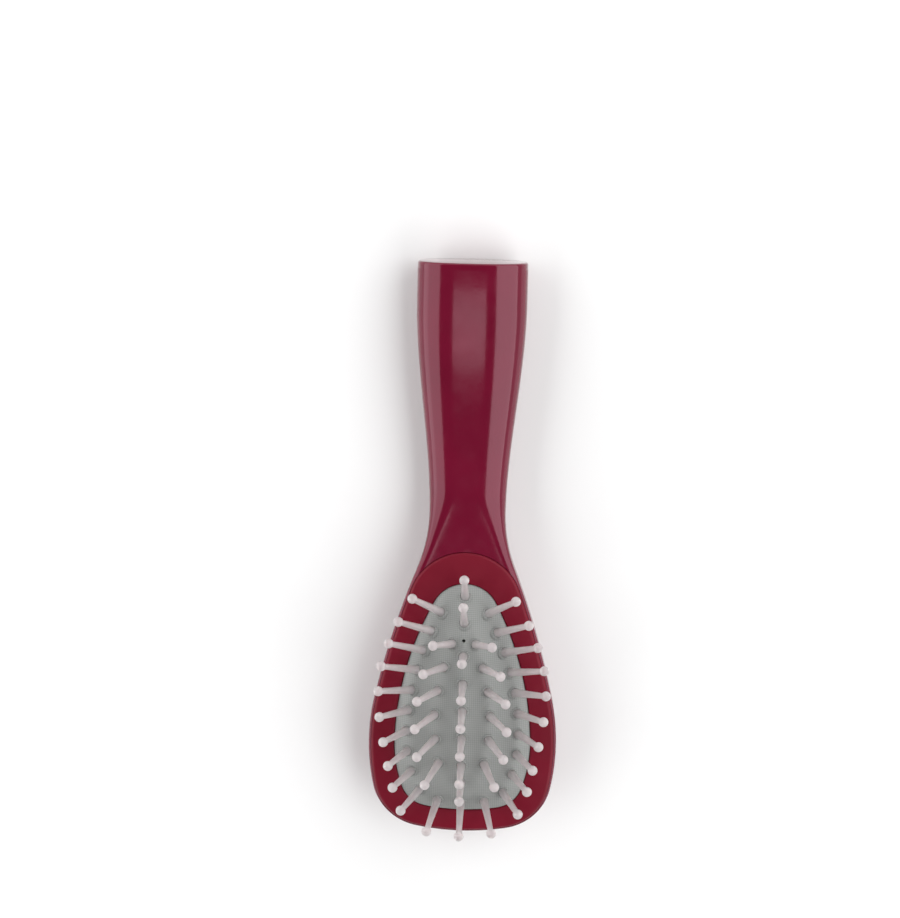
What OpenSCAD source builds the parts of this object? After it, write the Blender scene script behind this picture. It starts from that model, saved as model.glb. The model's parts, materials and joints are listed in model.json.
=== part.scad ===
// Cushioned pin brush for grooming small pets. A hollow handle runs into a dished
// head. A face plate in the head clamps a domed rubber air cushion by its flange,
// and ball-tipped pins stand on the cushion, splayed from its crown.
// The brush lies on its back: +Z points along the pins, +Y towards the butt, and
// the origin is under the middle of the brush. All sizes are in millimetres.

/* [Overall] */
// Length from the head's tip to the end cap
overall_l = 168; // [156:1:190]
// Width of the head at its widest
head_w = 55; // [53:0.2:60]
// Height of the face plate's top above the table
rim_z = 15; // [14:0.5:18]

/* [Head outline] */
// Radius of the arc round the head's tip
head_tip_r = 72; // [64:1:84]
// Radius of the arcs between the tip and the flanks
head_corner_r = 16; // [14:0.5:18]
// Radius of the flank arcs at the widest place
head_flank_r = 64; // [56:1:72]
// Radius of the long sides between the flanks and the neck
head_side_r = 265; // [220:5:320]
// Direction that the corner arcs turn to before the flanks begin
head_corner_a = -12; // [-16:1:-8]
// Direction that the flank arcs turn to before the long sides begin
head_side_a = 12.6; // [11:0.2:14]

/* [Handle] */
// Width of the neck where it is narrowest
neck_w = 22; // [20:0.5:24]
// Radius that sweeps the neck into the head
neck_r = 44; // [36:1:52]
// Width of the handle at the butt
butt_w = 31.2; // [28:0.2:34]
// Length of the full-width grip at the butt
butt_run = 12; // [8:1:20]
// Thickness of the handle at the butt
butt_t = 17.6; // [16:0.2:20]
// Height of the arch under the handle
arch_h = 3; // [1:0.25:4]
// Wall of the hollow handle
handle_wall = 2.4; // [2:0.1:3.2]

/* [Head shell] */
// Height of the head's widest line above the table
head_waist_z = 11; // [10:0.25:12]
// Drop of the shell's lip below the face plate's top
lip_drop = 0.4; // [0:0.1:0.8]
// Thickness of the floor under the air chamber
chamber_floor = 4; // [3:0.25:5]

/* [Face plate] */
// Width of the shell's lip that frames the face plate
lip_w = 0.6; // [0.5:0.05:0.8]
// Radius of the face plate's end on the neck
plate_end_r = 16.6; // [16:0.1:17.4]
// Thickness of the face plate
plate_t = 2; // [1.6:0.1:2.6]
// Radius of the face plate's rounded outer edge
plate_edge_r = 1; // [0.4:0.1:1.2]
// Radius of its edge round the opening
opening_edge_r = 0.5; // [0.3:0.1:1.2]
// Diameter of the pegs under the face plate
peg_d = 2; // [1.6:0.1:2.2]
// Length of the pegs
peg_l = 3; // [2:0.25:4]
// Number of pegs round the face plate
peg_count = 10; // [6:2:12]

/* [Opening] */
// Width of the frame that the face plate and lip leave beside the egg-shaped opening
frame_w = 7.6; // [7:0.1:8.5]
// Distance from the head's tip to the opening
opening_tip = 7; // [6.6:0.1:8]
// Radius of the arc round the opening's wide end
opening_tip_r = 60; // [50:2:80]
// Radius of the arcs between the wide end and the flanks
opening_corner_r = 9; // [8:0.5:11]
// Radius of the opening's flank arcs at its widest place
opening_flank_r = 40; // [37:1:44]
// Radius of the opening's long sides between the flanks and the narrow end
opening_side_r = 96; // [92:1:104]
// Radius of the opening's narrow end
opening_end_r = 10; // [9:0.5:11]
// Direction that the corner arcs turn to before the flanks begin
opening_corner_a = -20; // [-24:1:-16]
// Direction that the flank arcs turn to before the long sides begin
opening_side_a = 2; // [1:0.5:4]

/* [Cushion] */
// Height of the dome above the shell's lip
dome_h = 7; // [5.5:0.25:8.5]
// Thickness of the rubber
rubber_t = 1.2; // [1:0.1:1.5]
// Width of the flange that the face plate clamps
flange_w = 2.1; // [1.6:0.1:2.2]
// Thickness of the flange
flange_t = 1.2; // [1:0.1:1.6]
// Diameter of the collar moulded round each pin
collar_d = 4; // [3.6:0.1:4.2]
// Height of the collar above the rubber
collar_h = 0.5; // [0.4:0.1:1.2]
// Diameter of the vent hole
vent_d = 1; // [0.8:0.1:1.4]

/* [Pins] */
// Length of a pin from the rubber to the middle of its ball
pin_l = 15.5; // [13:0.5:17]
// Diameter of the ball
ball_d = 2.8; // [2.4:0.1:3.2]
// Diameter of the pin at the collar
pin_root_d = 2.5; // [2:0.1:2.7]
// Diameter of the pin under its ball
pin_tip_d = 1.6; // [1.3:0.1:1.9]
// Diameter of the flat head inside the cushion
foot_d = 3.2; // [2.8:0.1:3.4]
// Thickness of that head
foot_t = 0.8; // [0.6:0.1:1]

/* [Pin rows] */
// Number of pins in the outer ring
ring_count = 24; // [20:2:24]
// How far the ring lies from the opening's edge towards the crown, as a share
ring_share = 0.19; // [0.17:0.01:0.22]
// Number of pins in the middle loop
loop_count = 14; // [12:2:14]
// How far the loop lies from the opening's edge towards the crown, as a share
loop_share = 0.6; // [0.56:0.01:0.62]
// Number of pins along the crown
crown_count = 5; // [4:1:5]
// Spacing of the crown pins
crown_pitch = 8.2; // [7.8:0.1:8.4]

/* [End cap] */
// Thickness of the end cap outside the handle
cap_t = 2; // [1.6:0.1:3]
// Depth of the plug inside the handle
plug_l = 9; // [6:0.5:12]
// Wall of the hollow plug
plug_wall = 1.6; // [1.2:0.1:2]
// Rounding round the butt
butt_edge_r = 0.7; // [0.4:0.1:1.2]

/* [Clearances] */
// Gap round the face plate, the cushion's rim and the plug
seat_gap = 0.1; // [0.05:0.01:0.2]
// Radial gap round a pin in its collar
pin_gap = 0.04; // [0.02:0.01:0.08]

/* [Hidden] */
ring_names = [for (i = [1 : ring_count]) str("pin_ring_", i < 10 ? "0" : "", i)];
loop_names = [for (i = [1 : loop_count]) str("pin_loop_", i < 10 ? "0" : "", i)];
crown_names = [for (i = [1 : crown_count]) str("pin_crown_", i)];

$fn = 32;
burgundy = [0.43, 0.09, 0.16];
satin_burgundy = [0.45, 0.11, 0.17];
cushion_grey = [0.55, 0.56, 0.55];
pin_white = [0.93, 0.91, 0.91];

tip_y = -overall_l / 2;
butt_y = overall_l / 2;
cut = 1; // how far a cut runs past the face that it opens

// ---- Outlines -------------------------------------------------------------
// An egg is a chain of tangent arcs from its tip to its other end, given on the
// +X side: tip, corner, flank, long side and end. Each arc is [centre x, centre y,
// radius, first normal, last normal].

function egg(half_w, tip, tip_r, corner_r, flank_r, side_r, end_r, corner_a, side_a) =
    let (flank_x = half_w - flank_r,
         corner_x = flank_x + (flank_r - corner_r) * cos(corner_a),
         tip_a = -acos(corner_x / (tip_r - corner_r)),
         corner_y = tip + tip_r + (tip_r - corner_r) * sin(tip_a),
         flank_y = corner_y - (flank_r - corner_r) * sin(corner_a),
         side_x = flank_x - (side_r - flank_r) * cos(side_a),
         side_y = flank_y - (side_r - flank_r) * sin(side_a),
         end_a = acos(-side_x / (side_r - end_r)),
         end_y = side_y + (side_r - end_r) * sin(end_a))
    [[0, tip + tip_r, tip_r, -90, tip_a],
     [corner_x, corner_y, corner_r, tip_a, corner_a],
     [flank_x, flank_y, flank_r, corner_a, side_a],
     [side_x, side_y, side_r, side_a, end_a],
     [0, end_y, end_r, end_a, 90]];

// The extra radius spreads mesh points so that tight arcs get their share.
mesh_spread = 14;
function arc_share(arc, spread) = (arc[2] + spread) * (arc[4] - arc[3]);
function egg_length(arcs, spread, i = 0) =
    i == len(arcs) ? 0 : arc_share(arcs[i], spread) + egg_length(arcs, spread, i + 1);
function walk(arcs, left, spread, i = 0) =
    i == len(arcs) - 1 || left <= arc_share(arcs[i], spread)
    ? arcs[i][3] + left / (arcs[i][2] + spread)
    : walk(arcs, left - arc_share(arcs[i], spread), spread, i + 1);

// Normal direction at a share of the way from the tip to the other end
function egg_normal(arcs, share, spread = 0) =
    walk(arcs, share * egg_length(arcs, spread), spread);

// Point of the egg whose outward normal is a, moved inward by inset
function egg_point(arcs, a, inset = 0, i = 0) =
    i < len(arcs) - 1 && a > arcs[i][4]
    ? egg_point(arcs, a, inset, i + 1)
    : [arcs[i][0] + (arcs[i][2] - inset) * cos(a), arcs[i][1] + (arcs[i][2] - inset) * sin(a)];

// Going once round an egg, a turn from 0 to 1 climbs the +X side from the tip
// and comes back down the -X side.
function turn_side(turn) = turn <= 0.5 ? 1 : -1;
function turn_share(turn) = turn <= 0.5 ? 2 * turn : 2 - 2 * turn;
function egg_ring(arcs, inset, count) =
    [for (i = [0 : count - 1])
        let (turn = i / count,
             p = egg_point(arcs, egg_normal(arcs, turn_share(turn), mesh_spread), inset))
        [turn_side(turn) * p[0], p[1]]];

head_arcs = egg(head_w / 2, tip_y, head_tip_r, head_corner_r, head_flank_r, head_side_r,
                plate_end_r + lip_w, head_corner_a, head_side_a);
opening_w = head_w - 2 * frame_w;
opening_arcs = egg(opening_w / 2, tip_y + opening_tip, opening_tip_r, opening_corner_r,
                   opening_flank_r, opening_side_r, opening_end_r, opening_corner_a,
                   opening_side_a);
outline_n = 72;

module egg_prism(arcs, inset, z0, z1) {
    translate([0, 0, z0])
        linear_extrude(height = z1 - z0)
            polygon(egg_ring(arcs, inset, outline_n));
}

// ---- Meshes ---------------------------------------------------------------

function smooth(t) = let (c = min(max(t, 0), 1)) c * c * (3 - 2 * c);
function blend(a, b, t) = a + (b - a) * smooth(t);
function at_z(ring, z) = [for (p = ring) [p[0], p[1], z]];

// A closed skin over a stack of rings with equal counts, capped at both ends
module skin(rings) {
    n = len(rings[0]);
    last = len(rings) - 1;
    points = [for (ring = rings) each ring];
    sides = [for (j = [0 : last - 1], i = [0 : n - 1])
             let (a = j * n + i, b = j * n + (i + 1) % n)
             each [[a, b + n, b], [a, a + n, b + n]]];
    first_cap = [for (i = [0 : n - 1]) i];
    last_cap = [for (i = [n - 1 : -1 : 0]) last * n + i];
    polyhedron(points = points, faces = concat([first_cap, last_cap], sides));
}

// ---- Body shell -----------------------------------------------------------

waist_y = head_arcs[2][1];
side = head_arcs[3];
neck_x = neck_w / 2 + neck_r;
neck_y = side[1] + sqrt(pow(side[2] + neck_r, 2) - pow(neck_x - side[0], 2));
neck_a = atan2(neck_y - side[1], neck_x - side[0]);
shell_butt_y = butt_y - cap_t;
function handle_half_w(y) =
    blend(neck_w / 2, butt_w / 2, (y - neck_y) / (butt_y - butt_run - neck_y));

tip_steps = 12;
flank_steps = 4;
side_steps = 4;
neck_steps = 5;
handle_steps = 11;
widest_share = [for (k = [0 : 40]) if (egg_normal(head_arcs, k / 40, mesh_spread) < 0) k / 40];
tip_share = max(widest_share);

// The outline on the +X side, from the tip round the flank and neck to the butt
outline = concat(
    [for (i = [0 : tip_steps - 1])
        egg_point(head_arcs, egg_normal(head_arcs, tip_share * i / (tip_steps - 1), mesh_spread))],
    [for (i = [0 : flank_steps - 1]) egg_point(head_arcs, head_side_a * i / flank_steps)],
    [for (i = [0 : side_steps - 1])
        egg_point(head_arcs, head_side_a + (neck_a - head_side_a) * i / side_steps)],
    [for (i = [0 : neck_steps - 1])
        let (a = neck_a * (1 - i / neck_steps))
        [neck_x - neck_r * cos(a), neck_y - neck_r * sin(a)]],
    [for (i = [0 : handle_steps])
        let (y = neck_y + (shell_butt_y - neck_y) * i / handle_steps)
        [handle_half_w(y), y]]);
waist_station = tip_steps;

// Side view: the shell's top, waist and underside. The sections are superellipses,
// squarer on the head than on the handle.
arch_y0 = tip_y + 39;
neck_blend_y0 = tip_y + 70;
neck_blend_y1 = neck_blend_y0 + 32;
head_top_squareness = 11;
head_under_squareness = 2.8;
handle_top_squareness = 2.5;
handle_under_squareness = 2.4;
lip_z = rim_z - lip_drop;
function neck_part(y) = (y - neck_blend_y0) / (neck_blend_y1 - neck_blend_y0);
function top_z(y) = blend(lip_z, butt_t, y / butt_y);
function under_z(y) =
    y < arch_y0 ? 0 : arch_h * pow(sin(180 * (y - arch_y0) / (butt_y - arch_y0)), 2);
function waist_z(y) = blend(head_waist_z, (top_z(y) + under_z(y)) / 2, neck_part(y));
function top_squareness(y) =
    blend(head_top_squareness, handle_top_squareness, neck_part(y));
function under_squareness(y) =
    blend(head_under_squareness, handle_under_squareness, neck_part(y));

// One point of a section, at an angle above the waist: its share of the half
// width, and its height
function section_share(y, a) =
    pow(abs(cos(a)), 2 / (a > 0 ? top_squareness(y) : under_squareness(y)));
function section_z(y, a, wall = 0) =
    a > 0
    ? waist_z(y) + (top_z(y) - wall - waist_z(y)) * pow(sin(a), 2 / top_squareness(y))
    : waist_z(y) - (waist_z(y) - under_z(y) - wall) * pow(-sin(a), 2 / under_squareness(y));

section_n = 40;
half_n = section_n / 2;

// A loop of points runs from the top, down the +X side and up the -X side. Past
// the waist the loops cross the handle. Before it they fan out round one centre.
function loop_angle(m) = 90 - 180 * (m <= half_n ? m : section_n - m) / half_n;
function loop_side(m) = m <= half_n ? 1 : -1;
function shell_point(j, m) =
    let (p = outline[j], a = loop_angle(m), share = section_share(p[1], a))
    [loop_side(m) * share * p[0],
     j < waist_station ? waist_y + share * (p[1] - waist_y) : p[1],
     section_z(p[1], a)];

// Loops of the fan share their two centre points, and the tip's loop is folded
function shell_index(j, m) =
    let (on_centre = m % half_n == 0,
         station = on_centre && j < waist_station ? waist_station : j,
         place = station == 0 && m > half_n ? section_n - m : m)
    station * section_n + place;
function whole_triangle(t) = t[0] != t[1] && t[1] != t[2] && t[2] != t[0];

module shell_skin() {
    last = len(outline) - 1;
    points = [for (j = [0 : last], m = [0 : section_n - 1]) shell_point(j, m)];
    sides = [for (j = [0 : last - 1], m = [0 : section_n - 1])
             let (n = (m + 1) % section_n,
                  a = shell_index(j, m), b = shell_index(j, n),
                  c = shell_index(j + 1, n), d = shell_index(j + 1, m))
             each [[a, c, b], [a, d, c]]];
    butt = [for (m = [section_n - 1 : -1 : 0]) shell_index(last, m)];
    polyhedron(points = points,
               faces = concat([butt], [for (t = sides) if (whole_triangle(t)) t]));
}

// A section of the handle as a ring, drawn in by a wall
function handle_ring(y, wall, count) =
    [for (i = [0 : count - 1])
        let (turn = i / count,
             a = 90 - 180 * turn_share(turn),
             x = (handle_half_w(y) - wall) * section_share(y, a))
        [turn_side(turn) * x, y, section_z(y, a, wall)]];

core_y0 = neck_y + 2;
core_nose = 4;
core_n = 32;
core_steps = 8;
module handle_core() {
    nose = handle_ring(core_y0 - core_nose, handle_wall + core_nose / 2, core_n);
    run = [for (i = [0 : core_steps])
              handle_ring(core_y0 + (shell_butt_y + cut - core_y0) * i / core_steps,
                          handle_wall, core_n)];
    skin(concat([nose], run));
}

seat_z = rim_z - plate_t;
ledge_z = seat_z - flange_t;
peg_wall = 0.5; // plastic left between the cushion's flange and a peg's hole
peg_inset = -(flange_w + seat_gap + peg_wall + peg_d / 2);

// Places something at equal steps round an egg
module round_egg(arcs, inset, count) {
    for (i = [0 : count - 1]) {
        turn = i / count;
        p = egg_point(arcs, egg_normal(arcs, turn_share(turn)), inset);
        translate([turn_side(turn) * p[0], p[1], 0])
            children();
    }
}

module body_shell() {
    color(burgundy)
        difference() {
            shell_skin();
            handle_core();
            egg_prism(head_arcs, lip_w, seat_z, rim_z + cut);
            egg_prism(opening_arcs, -flange_w - seat_gap, ledge_z, rim_z);
            egg_prism(opening_arcs, 0, chamber_floor, rim_z);
            round_egg(opening_arcs, peg_inset, peg_count)
                translate([0, 0, seat_z - peg_l - seat_gap])
                    cylinder(d = peg_d + 2 * pin_gap, h = peg_l + cut);
        }
}

// ---- Face plate -----------------------------------------------------------

// The plate's rings go round its edge profile, from the outer bottom edge over
// the rounded top to the inner bottom edge
edge_turns = [0, 30, 60, 90];
function plate_profile() = concat(
    [[0, 0, seat_z]],
    [for (a = edge_turns)
        [0, plate_edge_r * (1 - cos(a)), rim_z - plate_edge_r * (1 - sin(a))]],
    [for (i = [len(edge_turns) - 1 : -1 : 0])
        let (a = edge_turns[i])
        [1, opening_edge_r * (1 - cos(a)), rim_z - opening_edge_r * (1 - sin(a))]],
    [[1, 0, seat_z]]);

module plate_skin() {
    profile = plate_profile();
    rows = len(profile);
    n = outline_n;
    points = [for (q = profile)
        each at_z(q[0] == 0 ? egg_ring(head_arcs, lip_w + seat_gap + q[1], n)
                            : egg_ring(opening_arcs, -q[1], n), q[2])];
    faces = [for (j = [0 : rows - 1], i = [0 : n - 1])
             let (k = (j + 1) % rows, a = j * n + i, b = j * n + (i + 1) % n,
                  c = k * n + (i + 1) % n, d = k * n + i)
             each [[a, c, b], [a, d, c]]];
    polyhedron(points = points, faces = faces);
}

module face_plate() {
    color(satin_burgundy)
        union() {
            plate_skin();
            round_egg(opening_arcs, peg_inset, peg_count)
                translate([0, 0, seat_z - peg_l])
                    cylinder(d = peg_d, h = peg_l + plate_t / 2);
        }
}

// ---- Cushion --------------------------------------------------------------

// The dome's contours shrink from the opening onto a spine along its crown, so a
// share of 0 is the opening's edge and a share of 1 is the crown.
dome_power = 1.5;
spine_from_tip = 41.4;
spine_half_l = 17;
spine_mid_y = tip_y + spine_from_tip;
function dome_point(share, a, inset = 0) =
    let (edge = egg_point(opening_arcs, a, inset))
    [(1 - share) * edge[0],
     (1 - share) * edge[1] + share * (spine_mid_y + spine_half_l * sin(a))];
function dome_z(share) = lip_z + dome_h * (1 - pow(1 - share, dome_power));
function dome_ring(share, inset, z) =
    [for (i = [0 : outline_n - 1])
        let (turn = i / outline_n,
             a = egg_normal(opening_arcs, turn_share(turn), mesh_spread),
             p = dome_point(share, a, inset))
        [turn_side(turn) * p[0], p[1], z]];

outer_shares = [0.05, 0.12, 0.2, 0.3, 0.42, 0.55, 0.68, 0.8, 0.9, 0.96];
inner_shares = [0.95, 0.8, 0.6, 0.4, 0.22, 0.1];

module cushion_skin() {
    inner_inset = seat_gap + rubber_t;
    skin(concat(
        [for (s = inner_shares) dome_ring(s, inner_inset, dome_z(s) - rubber_t)],
        [dome_ring(0, inner_inset, lip_z - rubber_t),
         dome_ring(0, inner_inset, ledge_z),
         dome_ring(0, -flange_w, ledge_z),
         dome_ring(0, -flange_w, seat_z),
         dome_ring(0, seat_gap, seat_z),
         dome_ring(0, seat_gap, lip_z)],
        [for (s = outer_shares) dome_ring(s, seat_gap, dome_z(s))]));
}

boss_l = 2.4; // depth of the boss moulded round each pin, below the rubber's outer face
vent_from_tip = 60.5;
vent_y = tip_y + vent_from_tip;

module cushion() {
    color(cushion_grey)
        difference() {
            union() {
                cushion_skin();
                each_pin()
                    translate([0, 0, -boss_l])
                        cylinder(d = collar_d, h = boss_l + collar_h);
            }
            each_pin()
                translate([0, 0, -boss_l - cut])
                    cylinder(d = pin_root_d + 2 * pin_gap, h = boss_l + collar_h + 2 * cut);
            translate([0, vent_y, seat_z])
                cylinder(d = vent_d, h = dome_h + plate_t);
        }
}

// ---- Pins -----------------------------------------------------------------

// Lean of a pin from upright, by its place and its contour's normal. Side pins lean
// by leans[1] at the wide end and by leans[2] near the neck, and the pins at the
// tip and the neck by leans[0] and leans[3].
lean_y0 = tip_y + 22;
lean_y1 = lean_y0 + 32;
function lean(p, a, leans) =
    let (end_lean = a < 0 ? leans[0] : leans[3],
         side_lean = blend(leans[1], leans[2], (p[1] - lean_y0) / (lean_y1 - lean_y0)))
    end_lean + (side_lean - end_lean) * cos(a);

// Heading of a pin: its contour's normal, pulled towards the neck by pulls[0], and
// turned less than the normal towards the tip by pulls[1]
function heading(a, pulls) = atan2(pulls[0] + sin(a) * (a < 0 ? pulls[1] : 1), cos(a));

// The length of a contour so far, against the share of the way from the tip
contour_steps = 60;
function contour_lengths(share) =
    let (points = [for (i = [0 : contour_steps])
             dome_point(share, egg_normal(opening_arcs, i / contour_steps, mesh_spread))])
    [for (i = 0, run = 0; i <= contour_steps;
          run = run + (i < contour_steps ? norm(points[i + 1] - points[i]) : 0), i = i + 1)
        [run, i / contour_steps]];

// Pins of a row stand at equal steps along their own contour, down the -X side from
// the neck and back up. Only the steps next to the neck's and the tip's pins differ,
// by gaps[0] and gaps[1]. A place is [x, y, z, heading, lean].
function row_way(steps, half_count, gaps) =
    steps == 0 ? 1
    : steps == half_count ? 0
    : 1 - (gaps[0] + steps - 1) / (gaps[0] + gaps[1] + half_count - 2);
function row_place(i, count, share, gaps, leans, pulls) =
    let (right = i > count / 2,
         lengths = contour_lengths(share),
         run = row_way(right ? count - i : i, count / 2, gaps) * lengths[contour_steps][0],
         a = egg_normal(opening_arcs, lookup(run, lengths), mesh_spread),
         p = dome_point(share, a),
         turn = heading(a, pulls))
    [(right ? 1 : -1) * p[0], p[1], dome_z(share), right ? turn : 180 - turn,
     lean(p, a, leans)];
ring_gaps = [1.4, 1.1];
ring_leans = [19, 17, 45, 32];
ring_pulls = [0.15, 0.4];
loop_gaps = [1, 1.4];
loop_leans = [0, 17, 21, 32];
loop_pulls = [0, 0.6];
crown_neck_lean = 9;
crown_offset = 1.8; // how far the crown pins' middle lies from the spine's towards the tip
crown_y0 = spine_mid_y - crown_offset - 2 * crown_pitch;

function ring_place(i) = row_place(i, ring_count, ring_share, ring_gaps, ring_leans, ring_pulls);
function loop_place(i) = row_place(i, loop_count, loop_share, loop_gaps, loop_leans, loop_pulls);
function crown_place(i) =
    [0, crown_y0 + crown_pitch * i, dome_z(1), 90, i == crown_count - 1 ? crown_neck_lean : 0];
places = concat([for (i = [0 : ring_count - 1]) ring_place(i)],
                [for (i = [0 : loop_count - 1]) loop_place(i)],
                [for (i = [0 : crown_count - 1]) crown_place(i)]);

module at_place(place) {
    translate([place[0], place[1], place[2]])
        rotate([0, 0, place[3]])
            rotate([0, place[4], 0])
                children();
}

module each_pin() {
    for (place = places)
        at_place(place)
            children();
}

// A pin is turned about its own axis: a flat foot inside the cushion, a straight
// neck through the boss, a shaft that tapers most near the collar, and a ball
taper_steps = 4;
taper_power = 0.7;
module pin() {
    ball_r = ball_d / 2;
    join_z = pin_l - sqrt(pow(ball_r, 2) - pow(pin_tip_d / 2, 2));
    foot_top = -boss_l - pin_gap;
    taper = [for (i = [0 : taper_steps])
        [(pin_root_d - (pin_root_d - pin_tip_d) * pow(i / taper_steps, taper_power)) / 2,
         collar_h + (join_z - collar_h) * i / taper_steps]];
    color(pin_white) {
        union() {
            rotate_extrude()
                polygon(concat([[0, foot_top - foot_t], [foot_d / 2, foot_top - foot_t],
                                [foot_d / 2, foot_top], [pin_root_d / 2, foot_top]],
                               taper, [[0, join_z]]));
            translate([0, 0, pin_l])
                sphere(r = ball_r);
        }
    }
}

// ---- End cap --------------------------------------------------------------

function cap_outline(inset) =
    [for (p = handle_ring(shell_butt_y, inset, section_n)) [p[0], p[2]]];

// Steps over the cap's rounded edge: shares of its radius along Y and inward
edge_steps = [[1, 0], [0.5, 0.15], [0.25, 0.5]];
face_inset = 0.7 * butt_edge_r;

module end_cap() {
    face_t = 0.2; // thickness of the flat face that closes the rounded edge
    color(burgundy)
        union() {
            // Outer flange with its rounded edge, and the flat end face
            skin([for (q = concat([[cap_t / butt_edge_r, 0]], edge_steps))
                     [for (p = cap_outline(butt_edge_r * q[1]))
                         [p[0], butt_y - butt_edge_r * q[0], p[1]]]]);
            translate([0, butt_y, 0])
                rotate([90, 0, 0])
                    linear_extrude(height = face_t)
                        polygon(cap_outline(face_inset));
            // Hollow plug that fits the handle's core
            difference() {
                skin([for (y = [shell_butt_y - plug_l, shell_butt_y + cap_t / 2])
                         handle_ring(y, handle_wall + seat_gap, core_n)]);
                skin([for (y = [shell_butt_y - plug_l - cut, shell_butt_y])
                         handle_ring(y, handle_wall + plug_wall, core_n)]);
            }
        }
}

// ---- Nodes ----------------------------------------------------------------

body_shell();
face_plate();
cushion();
end_cap();
for (i = [0 : ring_count - 1])
    at_place(ring_place(i)) pin();
for (i = [0 : loop_count - 1])
    at_place(loop_place(i)) pin();
for (i = [0 : crown_count - 1])
    at_place(crown_place(i)) pin();
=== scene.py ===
"""Looks of a cushioned pet pin brush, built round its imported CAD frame.

The brush lies on its back: +Z along the pins, +Y towards the butt. Lengths are in
metres, and the sizes that the frame's boxes can't give repeat the CAD source's.
"""

import json
import math

import bmesh
import bpy
import numpy as np
from mathutils import Matrix, Vector


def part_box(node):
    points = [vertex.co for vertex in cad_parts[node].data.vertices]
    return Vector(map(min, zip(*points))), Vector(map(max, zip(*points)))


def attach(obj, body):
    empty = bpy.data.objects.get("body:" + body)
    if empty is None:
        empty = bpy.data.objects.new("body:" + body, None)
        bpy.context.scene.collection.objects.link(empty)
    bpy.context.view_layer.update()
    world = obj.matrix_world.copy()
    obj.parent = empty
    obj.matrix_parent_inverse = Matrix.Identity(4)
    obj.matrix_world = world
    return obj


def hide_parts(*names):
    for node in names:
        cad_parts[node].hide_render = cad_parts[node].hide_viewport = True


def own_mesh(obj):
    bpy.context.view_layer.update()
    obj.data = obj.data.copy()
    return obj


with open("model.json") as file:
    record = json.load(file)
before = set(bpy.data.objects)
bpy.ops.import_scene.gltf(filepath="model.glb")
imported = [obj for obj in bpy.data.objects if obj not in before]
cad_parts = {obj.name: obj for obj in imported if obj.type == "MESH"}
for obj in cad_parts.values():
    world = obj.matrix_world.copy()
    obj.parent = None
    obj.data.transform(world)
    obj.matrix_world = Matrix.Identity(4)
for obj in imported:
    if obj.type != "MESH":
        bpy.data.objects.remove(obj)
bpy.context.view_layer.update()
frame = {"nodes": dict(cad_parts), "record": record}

MM = 0.001

# ---- Places and sizes from the frame ---------------------------------------

shell_low, shell_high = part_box("body_shell")

HEAD_W = shell_high.x - shell_low.x
TIP_Y = shell_low.y
SHELL_BUTT_Y = shell_high.y
BUTT_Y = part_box("end_cap")[1].y
RIM_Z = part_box("face_plate")[1].z
LEDGE_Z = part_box("cushion")[0].z

# ---- Sizes that repeat the CAD source --------------------------------------

# Length that is added to each arc's radius when points are shared out round an egg
SPREAD = 14 * MM
# Radii of an egg's arcs (tip, corner, flank, long side and end), and the directions of
# its normals where the corner meets the flank and the flank meets the long side
HEAD_RADII = (72 * MM, 16 * MM, 64 * MM, 265 * MM, 17.2 * MM)
HEAD_CORNER_A = math.radians(-12)
HEAD_SIDE_A = math.radians(12.6)
OPENING_W = 39.8 * MM
OPENING_TIP = 7 * MM
OPENING_RADII = (60 * MM, 9 * MM, 40 * MM, 96 * MM, 10 * MM)
OPENING_CORNER_A = math.radians(-20)
OPENING_SIDE_A = math.radians(2)
NECK_W = 22 * MM
NECK_R = 44 * MM
BUTT_W = 31.2 * MM
BUTT_RUN = 12 * MM
BUTT_T = 17.6 * MM
ARCH_H = 3 * MM
ARCH_Y0 = TIP_Y + 39 * MM
HANDLE_WALL = 2.4 * MM
WAIST_Z = 11 * MM
# Powers of the sections' superellipses, on the head and on the handle
TOP_SQUARENESS = (11.0, 2.5)
UNDER_SQUARENESS = (2.8, 2.4)
LIP_DROP = 0.4 * MM
LIP_W = 0.6 * MM
PLATE_T = 2 * MM
PLATE_EDGE_R = 1.0 * MM
OPENING_EDGE_R = 0.5 * MM
CHAMBER_FLOOR = 4 * MM
SEAT_GAP = 0.1 * MM
NECK_BLEND = (TIP_Y + 70 * MM, TIP_Y + 102 * MM)
DOME_H = 7 * MM
DOME_POWER = 1.5
# The crown is a line on the middle plane: its centre's distance from the tip, and half its length
SPINE_MID = 41.4 * MM
SPINE_HALF = 17 * MM
RUBBER_T = 1.2 * MM
FLANGE_W = 2.1 * MM
VENT_FROM_TIP = 60.5 * MM
VENT_D = 1.0 * MM
CAP_EDGE_R = 0.7 * MM

LIP_Z = RIM_Z - LIP_DROP
SEAT_Z = RIM_Z - PLATE_T

# ---- Sizes of the scene alone ------------------------------------------------

# How far a cutter goes past the skin that it opens
CUT_MARGIN = 1 * MM
WEAVE_PITCH = 0.56 * MM

# ---- Outlines ----------------------------------------------------------------


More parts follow.
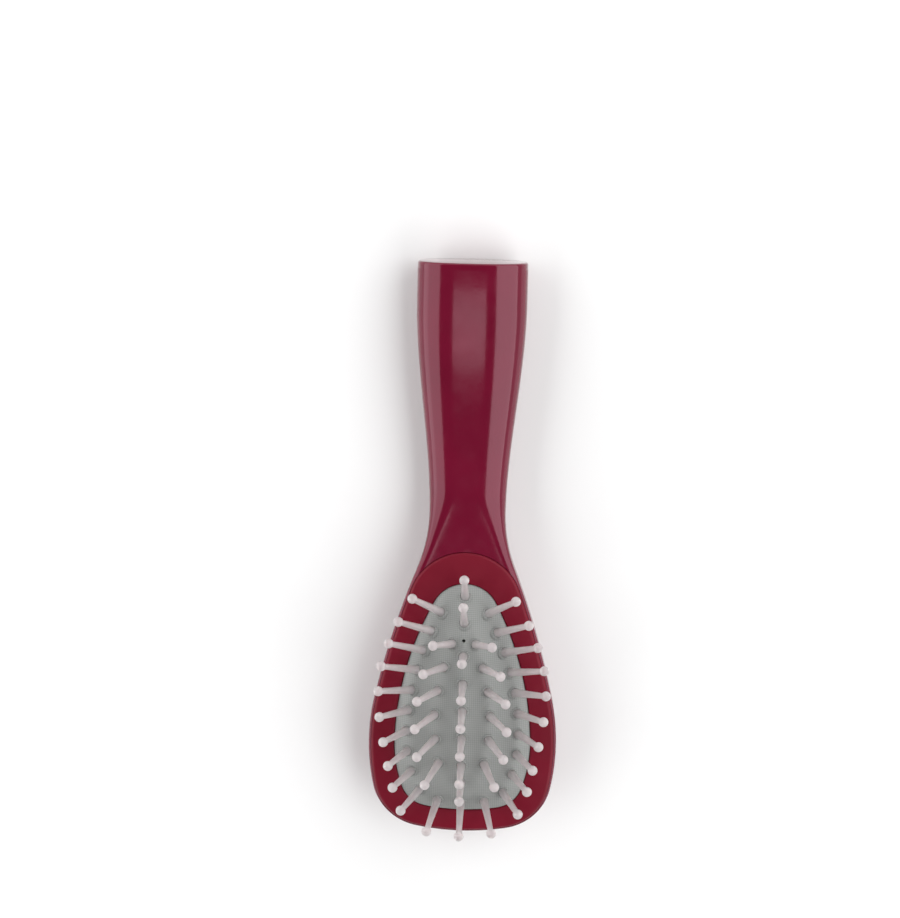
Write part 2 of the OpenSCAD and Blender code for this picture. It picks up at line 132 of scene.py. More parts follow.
def make_egg(half_w, tip, radii, corner_a, side_a):
    """Tangent arcs of an egg's +X side: (centre x, centre y, radius, first normal, last normal)."""
    tip_r, corner_r, flank_r, side_r, end_r = radii
    flank_x = half_w - flank_r
    corner_x = flank_x + (flank_r - corner_r) * math.cos(corner_a)
    tip_a = -math.acos(corner_x / (tip_r - corner_r))
    corner_y = tip + tip_r + (tip_r - corner_r) * math.sin(tip_a)
    flank_y = corner_y - (flank_r - corner_r) * math.sin(corner_a)
    side_x = flank_x - (side_r - flank_r) * math.cos(side_a)
    side_y = flank_y - (side_r - flank_r) * math.sin(side_a)
    end_a = math.acos(-side_x / (side_r - end_r))
    end_y = side_y + (side_r - end_r) * math.sin(end_a)
    return (
        (0, tip + tip_r, tip_r, -math.pi / 2, tip_a),
        (corner_x, corner_y, corner_r, tip_a, corner_a),
        (flank_x, flank_y, flank_r, corner_a, side_a),
        (side_x, side_y, side_r, side_a, end_a),
        (0, end_y, end_r, end_a, math.pi / 2),
    )


HEAD = make_egg(HEAD_W / 2, TIP_Y, HEAD_RADII, HEAD_CORNER_A, HEAD_SIDE_A)
OPENING = make_egg(OPENING_W / 2, TIP_Y + OPENING_TIP, OPENING_RADII, OPENING_CORNER_A, OPENING_SIDE_A)


def egg_normals(arcs, shares):
    """Normal directions at shares of the way from the tip to the other end."""
    lengths = [(r + SPREAD) * (a1 - a0) for x, y, r, a0, a1 in arcs]
    marks = np.concatenate([[0], np.cumsum(lengths)])
    angles = np.array([arcs[0][3]] + [a[4] for a in arcs])
    return np.interp(np.asarray(shares) * marks[-1], marks, angles)


def egg_points(arcs, normals, inset=0.0):
    """Points of the egg with those outward normals, moved inward by inset."""
    normals = np.atleast_1d(normals)
    out = np.zeros((len(normals), 2))
    for x, y, r, a0, a1 in arcs:
        on = (normals >= a0 - 1e-9) & (normals <= a1 + 1e-9)
        out[on, 0] = x + (r - inset) * np.cos(normals[on])
        out[on, 1] = y + (r - inset) * np.sin(normals[on])
    return out


def turns(count):
    """Sides and shares of points that go once round an egg from its tip."""
    t = np.arange(count) / count
    return np.where(t <= 0.5, 1.0, -1.0), np.where(t <= 0.5, 2 * t, 2 - 2 * t)


def egg_ring(arcs, inset, count):
    """Points once round an egg, moved inward by inset."""
    side, share = turns(count)
    ring = egg_points(arcs, egg_normals(arcs, share), inset)
    ring[:, 0] *= side
    return ring


def smooth(t):
    """A share from 0 to 1 that starts and ends level."""
    t = np.clip(t, 0, 1)
    return t * t * (3 - 2 * t)


def mix(a, b, t):
    """The value a share t of the way from a to b."""
    return a + (b - a) * t


# ---- Mesh helpers --------------------------------------------------------------


def new_object(name, points, faces, smooth_shade=True):
    mesh = bpy.data.meshes.new(name)
    mesh.from_pydata([tuple(p) for p in points], [], faces)
    mesh.validate()
    piece = bpy.data.objects.new(name, mesh)
    bpy.context.scene.collection.objects.link(piece)
    bm = bmesh.new()
    bm.from_mesh(mesh)
    bmesh.ops.recalc_face_normals(bm, faces=bm.faces)
    bm.to_mesh(mesh)
    bm.free()
    if smooth_shade:
        mesh.polygons.foreach_set("use_smooth", [True] * len(mesh.polygons))
    return piece


def ring_stack(rings, z_values=None, cap_first=True, cap_last=True):
    """Points and faces of a skin over rings of equal counts, each a closed loop."""
    n = len(rings[0])
    points = []
    for k, ring in enumerate(rings):
        for p in ring:
            z = p[2] if len(p) == 3 else z_values[k]
            points.append((p[0], p[1], z))
    faces = []
    for j in range(len(rings) - 1):
        for i in range(n):
            k = (i + 1) % n
            faces.append((j * n + i, j * n + k, (j + 1) * n + k, (j + 1) * n + i))
    if cap_first:
        faces.append(tuple(range(n - 1, -1, -1)))
    if cap_last:
        faces.append(tuple((len(rings) - 1) * n + i for i in range(n)))
    return points, faces


def weld(piece, distance=1e-7):
    """Merges points that coincide and turns all faces outward."""
    bm = bmesh.new()
    bm.from_mesh(piece.data)
    bmesh.ops.remove_doubles(bm, verts=bm.verts, dist=distance)
    bmesh.ops.recalc_face_normals(bm, faces=bm.faces)
    bm.to_mesh(piece.data)
    bm.free()
    return piece


def apply_modifiers(piece):
    depsgraph = bpy.context.evaluated_depsgraph_get()
    mesh = bpy.data.meshes.new_from_object(piece.evaluated_get(depsgraph))
    piece.modifiers.clear()
    piece.data = mesh
    return piece


def cut_away(piece, cutters):
    """Takes closed cutters out of a piece, exactly, and removes them."""
    for cutter in cutters:
        step = piece.modifiers.new("cut", "BOOLEAN")
        step.operation = "DIFFERENCE"
        step.solver = "EXACT"
        step.object = cutter
        apply_modifiers(piece)
        bpy.data.objects.remove(cutter)
    return piece


def shade_by_angle(piece, degrees):
    """Smooth shading, with edges sharper than an angle left crisp."""
    mesh = piece.data
    mesh.polygons.foreach_set("use_smooth", [True] * len(mesh.polygons))
    bm = bmesh.new()
    bm.from_mesh(mesh)
    limit = math.radians(degrees)
    for edge in bm.edges:
        edge.smooth = not (len(edge.link_faces) == 2 and edge.calc_face_angle(0) > limit)
    bm.to_mesh(mesh)
    bm.free()
    return piece


def egg_prism(name, arcs, inset, z0, z1, count=256):
    """A straight block on an egg's outline, to cut with."""
    ring = egg_ring(arcs, inset, count)
    points, faces = ring_stack([ring, ring], [z0, z1])
    return new_object(name, points, faces, smooth_shade=False)


# ---- Body shell -------------------------------------------------------------------

# The head is widest at its flank's centre; the neck's arc is tangent to the long side and to
# the handle's narrowest width
waist_y = HEAD[2][1]
side_x, side_y, side_r = HEAD[3][:3]
neck_x = NECK_W / 2 + NECK_R
neck_y = side_y + math.sqrt((side_r + NECK_R) ** 2 - (neck_x - side_x) ** 2)
neck_a = math.atan2(neck_y - side_y, neck_x - side_x)


def handle_half_w(y):
    return mix(NECK_W / 2, BUTT_W / 2, smooth((y - neck_y) / (BUTT_Y - BUTT_RUN - neck_y)))


def top_z(y):
    return mix(LIP_Z, BUTT_T, smooth(y / BUTT_Y))


def under_z(y):
    arch = np.sin(np.pi * (y - ARCH_Y0) / (BUTT_Y - ARCH_Y0)) ** 2
    return np.where(y < ARCH_Y0, 0, ARCH_H * arch)


def neck_part(y):
    """How far the section at y has changed from the head's kind, 0, to the handle's, 1."""
    return smooth((y - NECK_BLEND[0]) / (NECK_BLEND[1] - NECK_BLEND[0]))


def waist_z(y):
    return mix(WAIST_Z, (top_z(y) + under_z(y)) / 2, neck_part(y))


def top_squareness(y):
    return mix(*TOP_SQUARENESS, neck_part(y))


def under_squareness(y):
    return mix(*UNDER_SQUARENESS, neck_part(y))


def section(y, angles, inset=0.0):
    """Shares of the half width, and heights, of a section's points at angles above its waist."""
    up = angles > 0
    share = np.where(
        up,
        np.abs(np.cos(angles)) ** (2 / top_squareness(y)),
        np.abs(np.cos(angles)) ** (2 / under_squareness(y)),
    )
    rise = np.abs(np.sin(angles))
    z = np.where(
        up,
        waist_z(y) + (top_z(y) - inset - waist_z(y)) * rise ** (2 / top_squareness(y)),
        waist_z(y) - (waist_z(y) - under_z(y) - inset) * rise ** (2 / under_squareness(y)),
    )
    return share, z


def shell_outline(tip_n=40, flank_n=36, neck_n=18, handle_n=60):
    """The outline's +X side from the tip to the butt, and how many points precede the waist."""
    shares = np.linspace(0, 1, 400)
    tip_end = np.interp(0, egg_normals(HEAD, shares), shares)
    fan = egg_points(HEAD, egg_normals(HEAD, np.linspace(0, tip_end, tip_n, endpoint=False)))
    flank = egg_points(HEAD, np.linspace(0, neck_a, flank_n, endpoint=False))
    a = np.linspace(neck_a, 0, neck_n, endpoint=False)
    neck = np.stack([neck_x - NECK_R * np.cos(a), neck_y - NECK_R * np.sin(a)], 1)
    y = np.linspace(neck_y, SHELL_BUTT_Y, handle_n)
    handle = np.stack([handle_half_w(y), y], 1)
    return np.concatenate([fan, flank, neck, handle]), tip_n


def shell_skin(name, half_n=44):
    """The closed outer skin: loops cross the handle, and fan out round one centre past the waist."""
    outline, waist = shell_outline()
    loop_n = 2 * half_n
    points = []
    for j, (ox, oy) in enumerate(outline):
        for m in range(loop_n):
            a = math.pi / 2 - math.pi * (m if m <= half_n else loop_n - m) / half_n
            share, z = section(oy, np.array([a]))
            y = waist_y + share[0] * (oy - waist_y) if j < waist else oy
            side = 1 if m <= half_n else -1
            points.append((side * share[0] * ox, y, z[0]))

    def index(j, m):
        """The point of loop j at place m, where the fan's loops share points on the middle plane."""
        centre = m % half_n == 0
        station = waist if centre and j < waist else j
        place = loop_n - m if station == 0 and m > half_n else m
        return station * loop_n + place

    faces = []
    last = len(outline) - 1
    for j in range(last):
        for m in range(loop_n):
            n = (m + 1) % loop_n
            quad = [index(j, m), index(j, n), index(j + 1, n), index(j + 1, m)]
            corners = [c for k, c in enumerate(quad) if c != quad[k - 1]]
            if len(corners) >= 3:
                faces.append(tuple(corners))
    faces.append(tuple(index(last, m) for m in range(loop_n)))
    piece = new_object(name, points, faces)
    bm = bmesh.new()
    bm.from_mesh(piece.data)
    loose = [v for v in bm.verts if not v.link_faces]
    bmesh.ops.delete(bm, geom=loose, context="VERTS")
    bm.to_mesh(piece.data)
    bm.free()
    return piece


def handle_ring(y, inset, count):
    """A section of the handle, moved inward by inset."""
    side, share = turns(count)
    widths, z = section(y, np.pi / 2 - np.pi * share, inset)
    x = side * (handle_half_w(y) - inset) * widths
    return np.stack([x, np.full(count, y), z], 1)


def handle_core(taper=2 * MM, count=64):
    """The hollow of the handle, with a tapered inner end and an open butt."""
    core_y = np.linspace(neck_y + taper, SHELL_BUTT_Y + CUT_MARGIN, 12)
    rings = [handle_ring(neck_y - taper, HANDLE_WALL + taper, count)]
    rings += [handle_ring(y, HANDLE_WALL, count) for y in core_y]
    points, faces = ring_stack(rings)
    return new_object("core_cutter", points, faces, smooth_shade=False)


def build_shell():
    """The outer skin, less the plate's recess, the flange's pocket, the air chamber and the hollow."""
    shell = shell_skin("shell")
    recess = egg_prism("recess_cutter", HEAD, LIP_W, SEAT_Z, RIM_Z + CUT_MARGIN)
    pocket = egg_prism("pocket_cutter", OPENING, -FLANGE_W - SEAT_GAP, LEDGE_Z, RIM_Z)
    chamber = egg_prism("chamber_cutter", OPENING, 0, CHAMBER_FLOOR, RIM_Z)
    cut_away(shell, [recess, pocket, chamber, handle_core()])
    return shade_by_angle(shell, 30)


# ---- Face plate ----------------------------------------------------------------------


def build_plate(count=320, edge_n=8):
    """A flat egg-shaped frame with rounded edges, made of rings round its profile."""
    turn = np.linspace(0, math.pi / 2, edge_n)
    inward = 1 - np.cos(turn)
    down = 1 - np.sin(turn)
    rings = [egg_ring(HEAD, LIP_W + SEAT_GAP, count)]
    heights = [SEAT_Z]
    for d, h in zip(inward, down):
        rings.append(egg_ring(HEAD, LIP_W + SEAT_GAP + PLATE_EDGE_R * d, count))
        heights.append(RIM_Z - PLATE_EDGE_R * h)
    for d, h in zip(inward[::-1], down[::-1]):
        rings.append(egg_ring(OPENING, -OPENING_EDGE_R * d, count))
        heights.append(RIM_Z - OPENING_EDGE_R * h)
    rings.append(egg_ring(OPENING, 0, count))
    heights.append(SEAT_Z)
    rings.append(rings[0])
    heights.append(SEAT_Z)
    points, faces = ring_stack(rings, heights, cap_first=False, cap_last=False)
    return shade_by_angle(weld(new_object("plate", points, faces)), 40)


# ---- Pins ------------------------------------------------------------------------------

PIN_L = 15.5 * MM
BALL_R = 1.4 * MM
PIN_ROOT_R = 1.25 * MM
PIN_TIP_R = 0.8 * MM
PIN_TAPER = 0.7
BALL_FILLET_L = 0.35 * MM
FOOT_R = 1.6 * MM
FOOT_T = 0.8 * MM
BOSS_L = 2.44 * MM
COLLAR_R = 2.0 * MM
COLLAR_H = 0.5 * MM
COLLAR_DEPTH = 1.6 * MM
COLLAR_GAP = 0.02 * MM
COLLAR_CHAMFER = 0.1 * MM
COLLAR_RIM_R = 0.35 * MM
COLLAR_SKIRT = 0.3 * MM


def pin_frame(node):
    """The point where a pin leaves the rubber and its direction, from its CAD node's flat foot."""
    mesh = frame["nodes"][node].data
    weight = {}
    for face in mesh.polygons:
        key = tuple(round(c, 3) for c in face.normal)
        weight[key] = weight.get(key, 0) + face.area
    points = np.array([v.co for v in mesh.vertices])
    down = [(area, key) for key, area in weight.items() if key[2] < -0.3]
    axis = -Vector(max(down)[1]).normalized()
    heights = points @ np.array(axis)
    foot = points[heights < heights.min() + 0.02 * MM]
    centre = Vector((foot.min(0) + foot.max(0)) / 2)
    return centre + axis * (BOSS_L + FOOT_T), axis


def place_on_axis(base, axis):
    """Turns +Z onto an axis and moves the origin to its base."""
    turn = Vector((0, 0, 1)).rotation_difference(axis).to_matrix().to_4x4()
    return Matrix.Translation(base) @ turn


def pin_profile():
    """Radii and heights of a pin from its foot to the top of its ball."""
    profile = [(0, -BOSS_L - FOOT_T), (FOOT_R, -BOSS_L - FOOT_T), (FOOT_R, -BOSS_L),
               (PIN_ROOT_R, -BOSS_L), (PIN_ROOT_R, COLLAR_H)]
    join = PIN_L - math.sqrt(BALL_R**2 - PIN_TIP_R**2)
    for t in np.linspace(0.12, 0.88, 6):
        profile.append((mix(PIN_ROOT_R, PIN_TIP_R, t**PIN_TAPER), mix(COLLAR_H, join, t)))
    start = math.asin((join - PIN_L) / BALL_R)
    profile += [(PIN_TIP_R, join - BALL_FILLET_L), (PIN_TIP_R + 0.04 * MM, join - 0.1 * MM)]
    for a in np.linspace(start + 0.12, math.pi / 2, 14):
        profile.append((BALL_R * math.cos(a), PIN_L + BALL_R * math.sin(a)))
    profile[-1] = (0, PIN_L + BALL_R)
    return profile


def revolve(name, profile, steps=40):
    """A skin turned about Z from radii and heights, with a point where a radius is zero."""
    points, faces, rows = [], [], []
    for r, z in profile:
        if r < 1e-9:
            rows.append([len(points)] * steps)
            points.append((0, 0, z))
            continue
        rows.append(list(range(len(points), len(points) + steps)))
        for k in range(steps):
            a = 2 * math.pi * k / steps
            points.append((r * math.cos(a), r * math.sin(a), z))
    for low, high in zip(rows, rows[1:]):
        for k in range(steps):
            n = (k + 1) % steps
            quad = [low[k], low[n], high[n], high[k]]
            corners = [c for i, c in enumerate(quad) if c != quad[i - 1]]
            if len(corners) >= 3:
                faces.append(tuple(corners))
    return new_object(name, points, faces)


# ---- Cushion ----------------------------------------------------------------------------


def dome_points(shares, normals, inset):
    """Points between the opening's edge and the crown's spine, by share."""
    edge = egg_points(OPENING, normals, inset)
    spine = TIP_Y + SPINE_MID + SPINE_HALF * np.sin(normals)
    x = (1 - shares) * edge[:, 0]
    y = (1 - shares) * edge[:, 1] + shares * spine
    return x, y


def dome_z(share):
    return LIP_Z + DOME_H * (1 - (1 - share) ** DOME_POWER)


def collar(base, axis):
    """A low rubber collar that hugs a pin, with a round rim and a skirt that meets the dome softly."""
    bore, rim, skirt = PIN_ROOT_R + COLLAR_GAP, COLLAR_RIM_R, COLLAR_SKIRT
    wall_r = COLLAR_R - skirt
    profile = [(bore, -COLLAR_DEPTH), (bore, COLLAR_H - COLLAR_CHAMFER), (bore + COLLAR_CHAMFER, COLLAR_H)]
    for a in np.linspace(math.pi / 2, math.pi / 8, 6):
        profile.append((wall_r - rim + rim * math.cos(a), COLLAR_H - rim + rim * math.sin(a)))
    profile += [(wall_r + skirt / 2, 0), (COLLAR_R, -skirt), (COLLAR_R, -COLLAR_DEPTH),
                (bore, -COLLAR_DEPTH)]
    piece = revolve("collar", profile, 32)
    piece.data.transform(place_on_axis(base, axis))
    return piece


def join_into(piece, others):
    """Adds other pieces' meshes to a piece and removes them."""
    bm = bmesh.new()
    bm.from_mesh(piece.data)
    for other in others:
        bm.from_mesh(other.data)
        bpy.data.objects.remove(other)
    bm.to_mesh(piece.data)
    bm.free()


def build_dome(places, count=288, steps=64):
    """The rubber above the face plate's opening, with its vent and a collar at each pin's place."""
    side, share = turns(count)
    normals = egg_normals(OPENING, share)
    rings = []
    for s in np.linspace(0, 1, steps):
        x, y = dome_points(s, normals, SEAT_GAP)
        rings.append(np.stack([side * x, y, np.full(count, dome_z(s))], 1))
    points, faces = ring_stack(rings, cap_last=False)
    piece = weld(new_object("cushion_dome", points, faces), 1e-6)
    vent = revolve("vent_cutter", [(0, 0), (VENT_D / 2, 0), (VENT_D / 2, DOME_H), (0, DOME_H)], 24)
    vent.data.transform(Matrix.Translation((0, TIP_Y + VENT_FROM_TIP, LIP_Z + 0.5 * MM)))
    cut_away(piece, [vent])
    shade_by_angle(piece, 40)
    join_into(piece, [collar(*place) for place in places])
    return piece


def build_flange(count=288):
    """The part of the rubber below the dome: its rim, and the flange under the face plate."""
    top = LIP_Z - 0.01 * MM
    profile = [(SEAT_GAP, top), (SEAT_GAP, SEAT_Z), (-FLANGE_W, SEAT_Z), (-FLANGE_W, LEDGE_Z),
               (SEAT_GAP + RUBBER_T, LEDGE_Z), (SEAT_GAP + RUBBER_T, top), (SEAT_GAP, top)]
    rings = [egg_ring(OPENING, inset, count) for inset, z in profile]
    points, faces = ring_stack(rings, [z for inset, z in profile], cap_first=False, cap_last=False)
    return shade_by_angle(weld(new_object("cushion_flange", points, faces)), 30)


# ---- End cap -------------------------------------------------------------------------------


def build_cap(count=96, edge_n=5):
    """A flat cap that carries the handle's last section on and rounds its far edge."""
    cap_t = BUTT_Y - SHELL_BUTT_Y
    rings = []
    stations = [(0.0, 0.0), (cap_t - CAP_EDGE_R, 0.0)]
    for k in range(1, edge_n + 1):
        a = math.pi / 2 * k / edge_n
        stations.append((cap_t - CAP_EDGE_R * (1 - math.sin(a)), CAP_EDGE_R * (1 - math.cos(a))))
    for y, inset in stations:
        ring = handle_ring(SHELL_BUTT_Y, inset, count)
        ring[:, 1] = SHELL_BUTT_Y + y
        rings.append(ring)
    points, faces = ring_stack(rings)
    return shade_by_angle(new_object("butt_cap", points, faces), 30)


# ---- Materials --------------------------------------------------------------------------------


def new_material(name):
    material = bpy.data.materials.new(name)
    material.use_nodes = True
    nodes = material.node_tree.nodes
    return material, nodes, material.node_tree.links, nodes["Principled BSDF"]


def noise(nodes, links, scale, detail):
    """A noise texture over the object's own coordinates, in turns per metre."""
    position = nodes.new("ShaderNodeTexCoord")
    texture = nodes.new("ShaderNodeTexNoise")
    texture.inputs["Scale"].default_value = scale
    texture.inputs["Detail"].default_value = detail
    links.new(position.outputs["Object"], texture.inputs["Vector"])
    return texture.outputs["Fac"]


def ramp(nodes, links, source, stops):
    """A colour ramp over a source, from stops of place and colour."""
    node = nodes.new("ShaderNodeValToRGB")
    node.color_ramp.elements[0].position, node.color_ramp.elements[0].color = stops[0]
    node.color_ramp.elements[1].position, node.color_ramp.elements[1].color = stops[-1]
    for position, colour in stops[1:-1]:
        node.color_ramp.elements.new(position).color = colour
    links.new(source, node.inputs["Fac"])
    return node.outputs["Color"]


def bump(nodes, links, height, distance, strength=1.0, normal=None):
    node = nodes.new("ShaderNodeBump")
    node.inputs["Distance"].default_value = distance
    node.inputs["Strength"].default_value = strength
    links.new(height, node.inputs["Height"])
    if normal is not None:
        links.new(normal, node.inputs["Normal"])
    return node.outputs["Normal"]


def grey(value):
    return (value, value, value, 1)


def burgundy_plastic(name, dark, light, rough, grain):
    """Moulded burgundy plastic: a slow colour drift, a fine skin and faint handling marks."""
    material, nodes, links, shader = new_material(name)
    links.new(ramp(nodes, links, noise(nodes, links, 60, 4), [(0.3, dark), (0.7, light)]),
              shader.inputs["Base Color"])
    links.new(ramp(nodes, links, noise(nodes, links, 220, 5),
                   [(0.35, grey(rough[0])), (0.75, grey(rough[1]))]),
              shader.inputs["Roughness"])
    skin = bump(nodes, links, noise(nodes, links, grain[0], 2), grain[1])
    links.new(skin, shader.inputs["Normal"])
    shader.inputs["IOR"].default_value = 1.5
    return material, shader


def glossy_material(name, level, tint, coat, coat_ior):
    """The shell's glossy burgundy, with the strength and tint of its gloss and a clear coat."""
    material, shader = burgundy_plastic(
        name, (0.120, 0.0035, 0.018, 1), (0.142, 0.0045, 0.022, 1),
        (0.09, 0.16), (900, 0.000006))
    shader.inputs["Specular IOR Level"].default_value = level
    shader.inputs["Specular Tint"].default_value = tint
    shader.inputs["Coat Weight"].default_value = coat
    shader.inputs["Coat IOR"].default_value = coat_ior
    shader.inputs["Coat Roughness"].default_value = 0.06
    return material


def shell_material():
    return glossy_material("shell_plastic", 0.55, (1, 0.66, 0.76, 1), 0.1, 1.5)


def cap_material():
    """As glossy as the shell from straight on, and paler at a glancing view."""
    return glossy_material("cap_plastic", 0.38, (1, 0.52, 0.66, 1), 1, 1.3)


def plate_material():
    """The face plate's satin burgundy, with a coarser grain than the shell's."""
    material, shader = burgundy_plastic(
        "plate_plastic", (0.142, 0.0035, 0.014, 1), (0.166, 0.0050, 0.018, 1),
        (0.40, 0.52), (2600, 0.00001))
    shader.inputs["Specular IOR Level"].default_value = 0.18
    return material


def rubber_material():
    """Light grey rubber with a fine woven face."""
    material, nodes, links, shader = new_material("cushion_rubber")
    position = nodes.new("ShaderNodeTexCoord")
    split = nodes.new("ShaderNodeSeparateXYZ")
    links.new(position.outputs["Object"], split.inputs["Vector"])
    waves = []
    for axis in ("X", "Y"):
        scaled = nodes.new("ShaderNodeMath")
        scaled.operation = "MULTIPLY"
        scaled.inputs[1].default_value = 2 * math.pi / WEAVE_PITCH
        links.new(split.outputs[axis], scaled.inputs[0])
        wave = nodes.new("ShaderNodeMath")
        wave.operation = "SINE"
        links.new(scaled.outputs[0], wave.inputs[0])
        waves.append(wave.outputs[0])
    both = nodes.new("ShaderNodeMath")
    both.operation = "ADD"
    links.new(waves[0], both.inputs[0])
    links.new(waves[1], both.inputs[1])
    rescaled = nodes.new("ShaderNodeMapRange")
    rescaled.inputs["From Min"].default_value = -2
    rescaled.inputs["From Max"].default_value = 2
    links.new(both.outputs[0], rescaled.inputs["Value"])
    weave = rescaled.outputs["Result"]
    cloud = noise(nodes, links, 130, 3)
    blend = nodes.new("ShaderNodeMix")
    blend.inputs["Factor"].default_value = 0.35
    links.new(weave, blend.inputs["A"])
    links.new(cloud, blend.inputs["B"])
    links.new(ramp(nodes, links, blend.outputs["Result"],
                   [(0.2, (0.218, 0.228, 0.219, 1)), (0.8, (0.304, 0.312, 0.303, 1))]),
              shader.inputs["Base Color"])
    shader.inputs["Roughness"].default_value = 0.7
    skin = bump(nodes, links, noise(nodes, links, 3000, 2), 0.00001)
    links.new(bump(nodes, links, weave, 0.00005, 0.7, skin), shader.inputs["Normal"])
    return material


def nylon_material():
    """White nylon that lets some light through."""
    material, nodes, links, shader = new_material("pin_nylon")
    links.new(ramp(nodes, links, noise(nodes, links, 300, 3),
                   [(0.3, (0.75, 0.69, 0.70, 1)), (0.7, (0.83, 0.78, 0.78, 1))]),
              shader.inputs["Base Color"])
    links.new(ramp(nodes, links, noise(nodes, links, 700, 3), [(0.3, grey(0.28)), (0.7, grey(0.4))]),
              shader.inputs["Roughness"])
    shader.inputs["Subsurface Weight"].default_value = 0.35
    shader.inputs["Subsurface Radius"].default_value = (1.0, 0.9, 0.9)
    shader.inputs["Subsurface Scale"].default_value = 0.0012
    shader.inputs["Transmission Weight"].default_value = 0.55
    shader.inputs["IOR"].default_value = 1.52
    links.new(bump(nodes, links, noise(nodes, links, 1500, 2), 0.000006), shader.inputs["Normal"])
    return material


def floor_material():
    material, nodes, links, shader = new_material("floor")
    links.new(ramp(nodes, links, noise(nodes, links, 8, 2), [(0.4, grey(0.86)), (0.6, grey(0.88))]),
              shader.inputs["Base Color"])
    shader.inputs["Roughness"].default_value = 0.9
    return material


def backdrop_material(radiance):
    """A pale wall that glows evenly, as a lit studio backdrop does."""
    material, nodes, links, shader = new_material("backdrop")
    colour = ramp(nodes, links, noise(nodes, links, 1, 1), [(0.4, grey(0.97)), (0.6, grey(1.0))])
    links.new(colour, shader.inputs["Emission Color"])
    shader.inputs["Base Color"].default_value = grey(0.02)
    shader.inputs["Specular IOR Level"].default_value = 0
    shader.inputs["Emission Strength"].default_value = radiance
    return material


def dress(piece, material, body, slot, *replaced):
    """Gives a piece its material and body, and hides the CAD nodes that it stands for; slot is not used.
    """
    piece.data.materials.clear()
    piece.data.materials.append(material)
    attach(piece, body)
    if replaced:
        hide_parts(*replaced)
    return piece


# ---- The brush ------------------------------------------------------------------------------------

bodies = frame["record"]["behaviour"]["bodies"]
pin_nodes = {body: [n for n in nodes if n.startswith("pin_")] for body, nodes in bodies.items()}
pin_places = {n: pin_frame(n) for nodes in pin_nodes.values() for n in nodes}

dress(build_shell(), shell_material(), "handle", "shell_plastic", "body_shell")
dress(build_cap(), cap_material(), "handle", "cap_plastic", "end_cap")
dress(build_plate(), plate_material(), "handle", "plate_plastic", "face_plate")

rubber = rubber_material()
dome = dress(build_dome(list(pin_places.values())), rubber, "handle", "cushion_rubber", "cushion")
dress(build_flange(), rubber, "handle", "cushion_rubber")

nylon = nylon_material()
master = revolve("pin_master", pin_profile())
for body, nodes in pin_nodes.items():
    for node in nodes:
        place, axis = pin_places[node]
        pin = bpy.data.objects.new(node.replace("pin_", "nylon_pin_"), master.data.copy())
        bpy.context.scene.collection.objects.link(pin)
        pin.data.transform(place_on_axis(place, axis))
        dress(pin, nylon, body, "pin_nylon", node)
bpy.data.objects.remove(master)

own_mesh(dome)

# ---- Floor, lights and camera ------------------------------------------------------------------------

FLOOR_HALF = 3.0
WALL_R, WALL_H, WALL_SIDES = 1.5, 0.65, 96
WALL_RADIANCE = 0.65
WORLD_RADIANCE = 0.06

floor = new_object("floor", [(-FLOOR_HALF, -FLOOR_HALF, 0), (FLOOR_HALF, -FLOOR_HALF, 0),
                             (FLOOR_HALF, FLOOR_HALF, 0), (-FLOOR_HALF, FLOOR_HALF, 0)],
                   [(0, 1, 2, 3)])
floor.data.materials.append(floor_material())

wall_turns = np.linspace(0, 2 * math.pi, WALL_SIDES, endpoint=False)
wall_ring = np.stack([WALL_R * np.cos(wall_turns), WALL_R * np.sin(wall_turns)], 1)
wall = new_object("backdrop", *ring_stack([wall_ring, wall_ring], [0, WALL_H],
                                          cap_first=False, cap_last=False))
wall.data.materials.append(backdrop_material(WALL_RADIANCE))


def area_light(name, place, target, width, length, radiance):
    """A panel that faces a target, with its width along X and its length towards Y."""
    data = bpy.data.lights.new(name, "AREA")
    data.shape = "RECTANGLE"
    data.size, data.size_y = width, length
    data.energy = radiance * math.pi * width * length
    light = bpy.data.objects.new(name, data)
    bpy.context.scene.collection.objects.link(light)
    facing = (Vector(place) - Vector(target)).normalized()
    across = Vector((0, 1, 0)).cross(facing).normalized()
    turn = Matrix((across, facing.cross(across), facing)).transposed().to_4x4()
    light.matrix_world = Matrix.Translation(place) @ turn


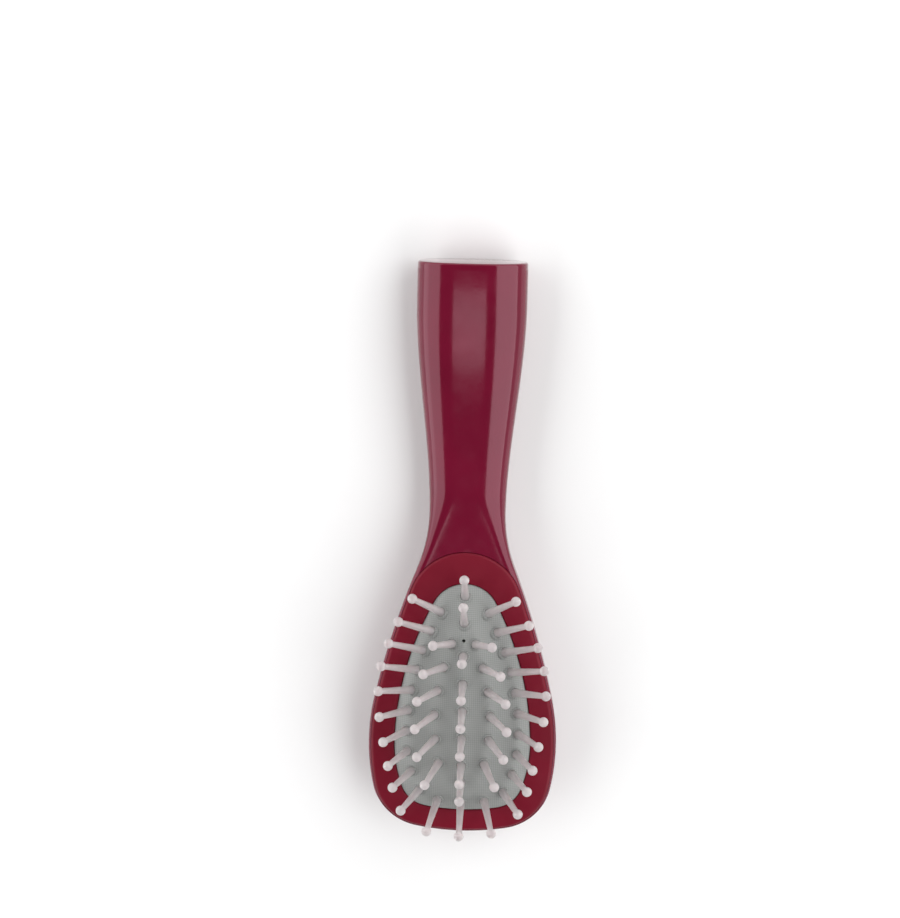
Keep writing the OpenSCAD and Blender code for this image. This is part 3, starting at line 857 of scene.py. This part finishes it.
def softbox(name, low_deg, high_deg, radiance, distance=0.8, length=1.8):
    """A panel over the brush that fills the angles from upright towards +X between two values."""
    mid = math.radians((low_deg + high_deg) / 2)
    half = math.radians((high_deg - low_deg) / 2)
    target = Vector((0, 0, RIM_Z))
    place = target + distance * Vector((math.sin(mid), 0, math.cos(mid)))
    area_light(name, place, target, 2 * distance * math.tan(half), length, radiance)


softbox("right_panel", 20, 71, 2.5)
softbox("left_panel", -89, -35, 2.0)
area_light("front_panel", (-0.056, -0.125, 1.0), (0, 0.07, RIM_Z), 0.40, 0.13, 1.85)
area_light("back_panel", (0, 0.95, 0.36), (0, 0.08, 0), 1.3, 0.4, 1.8)

world = bpy.data.worlds.new("studio")
world.use_nodes = True
world.node_tree.nodes["Background"].inputs["Color"].default_value = (1, 1, 1, 1)
world.node_tree.nodes["Background"].inputs["Strength"].default_value = WORLD_RADIANCE
bpy.context.scene.world = world
bpy.context.scene.view_settings.view_transform = "Standard"

# The camera stands over the brush, tilted towards the butt and swung a little towards
# +X, with the butt at the top of the picture and the brush leaning slightly clockwise.
TILT = math.radians(11)
SWING = math.radians(2)
ROLL = math.radians(1.15)
DISTANCE = 0.55
AIM = Vector((-5.2 * MM, 28.2 * MM, RIM_Z))
SENSOR = 36.0
LENS = 77.4

away = Vector((math.tan(SWING), math.tan(TILT), 1)).normalized()
right0 = Vector((0, 1, 0)).cross(away).normalized()
up0 = away.cross(right0)
right = right0 * math.cos(ROLL) + up0 * math.sin(ROLL)
up = up0 * math.cos(ROLL) - right0 * math.sin(ROLL)
camera_data = bpy.data.cameras.new("camera")
camera_data.sensor_fit = "HORIZONTAL"
camera_data.sensor_width = SENSOR
camera_data.lens = LENS
camera_data.clip_start = 0.01
camera = bpy.data.objects.new("camera", camera_data)
bpy.context.scene.collection.objects.link(camera)
eye = AIM + away * DISTANCE
camera.matrix_world = Matrix((
    (right.x, up.x, away.x, eye.x),
    (right.y, up.y, away.y, eye.y),
    (right.z, up.z, away.z, eye.z),
    (0, 0, 0, 1),
))
bpy.context.scene.camera = camera
